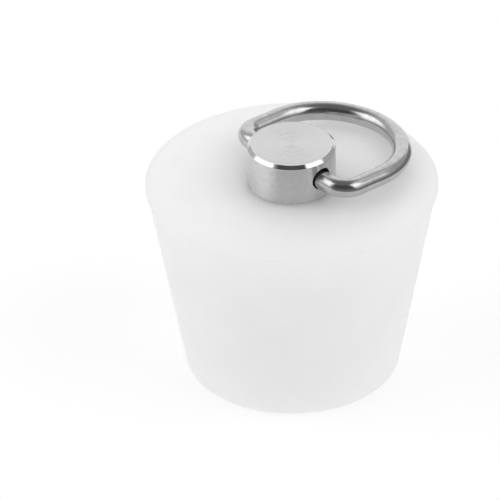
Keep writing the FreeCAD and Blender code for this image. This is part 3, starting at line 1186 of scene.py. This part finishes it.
@dataclass(frozen=True)
class Canopy:
    """What the steel reflects: a dark tent, paler towards the floor, with the lights' bright patches.

    Directions are degrees to the right of the camera and above the horizon, and tones have 1 for white.

    Attributes:
        dark: Tone in front, round the camera.
        lift: How much paler the front is at the horizon.
        fade: Over how many degrees upwards that lift falls to about a third.
        left: Tone of the left side.
        right: Tone of the right side.
        ceiling: Tone overhead.
        front_half: Degrees from the camera to where the sides begin.
        ceiling_edge: Elevation at which the ceiling begins.
        blend: Over how many degrees one runs into the next.
        radius: Of the dome, in metres.
        rim: Elevation of its lower edge.
    """

    dark: float = 0.06
    lift: float = 0.20
    fade: float = 13
    left: float = 0.62
    right: float = 0.48
    ceiling: float = 0.18
    front_half: float = 52
    ceiling_edge: float = 60
    blend: float = 24
    radius: float = 1.0
    rim: float = -8
    columns: int = 120
    rows: int = 50

    def tones(self, side: np.ndarray, rise: np.ndarray, softboxes: Sequence[Softbox]) -> np.ndarray:
        """Works out the tone in each direction.

        Args:
            side: Azimuths from -180 to 180.
            rise: Elevations.
            softboxes: The lights whose patches are laid over the rest.

        Returns:
            The tones.
        """
        front = self.dark + self.lift * np.exp(-np.maximum(rise, 0) / self.fade)
        flank = np.where(side < 0, self.left, self.right)
        wall = front + (flank - front) * inside(np.abs(side) - self.front_half, self.blend)
        tone = wall + (self.ceiling - wall) * inside(rise - self.ceiling_edge, self.blend)
        for softbox in softboxes:
            tone += (softbox.glow - tone) * softbox.patch(side, rise)
        return tone

    def build(self, azimuth: float, centre: Vector, softboxes: Sequence[Softbox]) -> None:
        """Makes the dome, which reflections see and nothing else.

        Args:
            azimuth: The camera's azimuth.
            centre: Middle of the dome.
            softboxes: The lights whose patches it shows.
        """
        rises = np.radians(np.linspace(self.rim, 90, self.rows + 1))
        profile = self.radius * np.column_stack([np.cos(rises), np.sin(rises)])
        dome = weld("canopy", [turned(profile, around(self.columns))])
        places = np.empty(3 * len(dome.data.vertices))
        dome.data.vertices.foreach_get("co", places)
        x, y, z = places.reshape(-1, 3).T
        side = np.degrees(np.arctan2(x, -y) - azimuth)
        rise = np.degrees(np.arcsin(np.clip(z / self.radius, -1, 1)))
        dome.data.transform(Matrix.Translation(centre))
        show_in_steel(dome, self.tones((side + 180) % 360 - 180, rise, softboxes))


@dataclass
class Studio:
    """A white surround with four soft lights, a pale floor, and what the steel reflects.

    Attributes:
        camera_azimuth: The camera's azimuth.
        target: What the lamps face, and the middle of the canopy.
        softboxes: The lights.
        canopy: The tent round them.
        grey_card: The low card.
        sky_glow: Brightness of the surround straight above, for light on surfaces.
        floor_bounce: The same straight below, in place of light off the floor.
        floor_radius: Radius of the floor.
        floor_gap: How far the floor lies below the base.
        floor_tone: The floor's own colour.
        floor_glow: What makes the lit floor up to white where it is seen.
    """

    camera_azimuth: float
    target: Vector
    softboxes: tuple[Softbox, ...] = (
        Softbox("backdrop", side=178, width=74, low=-20, high=43, glow=1.06, light=0.38, soft=12),
        Softbox("right_wing", side=108, width=44, low=40, high=62, glow=0.85, light=0.2, soft=22),
        Softbox("right_softbox", side=70, width=47, low=23, high=63, glow=1.72, light=0.85, skirt=36),
        Softbox("left_softbox", side=-85, width=53, low=20, high=61, glow=1.72, light=0.85),
    )
    canopy: Canopy = Canopy()
    grey_card: GreyCard = GreyCard()
    sky_glow: float = 0.60
    floor_bounce: float = 0.85
    floor_radius: float = 3.0
    floor_gap: float = 0.1 * MM
    floor_tone: Colour = (0.80, 0.80, 0.80, 1)
    floor_glow: float = 0.31
    floor_rings: int = 12
    floor_columns: int = 96

    def white_seen(self, board: Board) -> Socket:
        """Gives 1 for what the camera, a reflection or a refraction sees, and otherwise 0."""
        path = board.add("ShaderNodeLightPath").outputs
        mirrored = board.math("MAXIMUM", path["Is Glossy Ray"], path["Is Transmission Ray"])
        return board.math("MAXIMUM", path["Is Camera Ray"], mirrored)

    def make_sky(self) -> None:
        """Surrounds everything with white that lights surfaces at a plain level."""
        world = bpy.data.worlds.new("white_tent")
        bpy.context.scene.world = world
        board = Board(world)
        back = board.nodes["Background"]
        place = board.add("ShaderNodeTexCoord").outputs["Generated"]
        rise = board.add("ShaderNodeSeparateXYZ", {0: place}).outputs["Z"]
        span = {"From Min": -1.0, "From Max": 1.0, "To Min": self.floor_bounce, "To Max": self.sky_glow}
        lit = board.add("ShaderNodeMapRange", {"Value": rise, **span}).outputs[0]
        inputs = {"Value": self.white_seen(board), "To Min": lit, "To Max": 1.0}
        level = board.add("ShaderNodeMapRange", inputs).outputs[0]
        board.feed(back, {"Color": (1, 1, 1, 1), "Strength": level})

    def make_floor(self) -> None:
        """Lays a pale round floor that shows the shadow from above and nothing from below."""
        rings = np.linspace(0, self.floor_radius, self.floor_rings)
        profile = np.column_stack([rings, np.full_like(rings, -self.floor_gap)])
        floor = weld("floor", [turned(profile, around(self.floor_columns))])
        if floor.data.polygons[0].normal.z < 0:
            floor.data.flip_normals()
        material, board, shader = new_material("pale_floor")
        seen = board.math("MULTIPLY", self.white_seen(board), self.floor_glow)
        board.feed(
            shader,
            {
                "Base Color": self.floor_tone,
                "Roughness": 1.0,
                "Specular IOR Level": 0.0,
                "Emission Color": (1, 1, 1, 1),
                "Emission Strength": seen,
            },
        )
        board.clear_where(board.add("ShaderNodeNewGeometry").outputs["Backfacing"], shader)
        floor.data.materials.append(material)
        floor.visible_diffuse = False
        floor.visible_shadow = False

    def build(self) -> None:
        """Sets up the surround, the floor, the canopy, the card and the lamps."""
        self.make_sky()
        self.make_floor()
        self.canopy.build(self.camera_azimuth, self.target, self.softboxes)
        self.grey_card.build(self.camera_azimuth)
        for softbox in self.softboxes:
            softbox.place(self.camera_azimuth, self.target)
        bpy.context.scene.view_settings.view_transform = "Standard"


@dataclass
class PhotoCamera:
    """The camera that sees the stopper as the photograph does.

    Attributes:
        azimuth: Round from -Y, in degrees.
        elevation: Above the horizon, in degrees.
        roll: Lean of the camera, in degrees.
        frame_width: Width of the picture in pixels.
        pixels_per_mm: Scale at the plug's top.
        top_centre: Pixel where the centre of the plug's top face falls.
        distance: From the plug's top, in metres.
        sensor: Width of the sensor, in millimetres.
        farthest: How far the camera sees, in metres.
    """

    azimuth: float = 46.73
    elevation: float = 33.19
    roll: float = -0.5
    frame_width: int = 500
    pixels_per_mm: float = 5.533
    top_centre: tuple[float, float] = (291.67, 180.77)
    distance: float = 2.0
    sensor: float = 36.0
    farthest: float = 10.0

    def place(self, target: Vector) -> None:
        """Aims past the target so that it falls on its pixel.

        Args:
            target: Centre of the plug's top face.
        """
        away = facing(math.radians(self.azimuth), math.radians(self.elevation))
        turn = (-away).to_track_quat("-Z", "Y").to_matrix()
        turn = turn @ Matrix.Rotation(math.radians(self.roll), 3, "Z")
        pixel = MM / self.pixels_per_mm
        middle = self.frame_width / 2
        right = (self.top_centre[0] - middle) * pixel
        up = (middle - self.top_centre[1]) * pixel
        aim = target - turn.col[0] * right - turn.col[1] * up
        data = bpy.data.cameras.new("photo_camera")
        data.sensor_width = self.sensor
        data.lens = self.sensor * self.distance / (self.frame_width * pixel)
        data.clip_end = self.farthest
        camera = bpy.data.objects.new("photo_camera", data)
        camera.matrix_world = Matrix.Translation(aim + away * self.distance) @ turn.to_4x4()
        bpy.context.scene.collection.objects.link(camera)
        bpy.context.scene.camera = camera


def main() -> None:
    """Builds the pieces, then the studio and the camera round them."""
    logging.basicConfig(level=logging.INFO, format="%(message)s")
    for piece in (Plug(), Knob(), PullRing(), FixingScrew(), Washer()):
        made = piece.build()
        LOG.info("%s stands for %s on %s", made.name, piece.node, piece.body.value)
    top = Vector((0, 0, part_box(Plug.node)[1].z))
    camera = PhotoCamera()
    camera.place(top)
    Studio(math.radians(camera.azimuth), top).build()


if __name__ == "__main__":
    main()
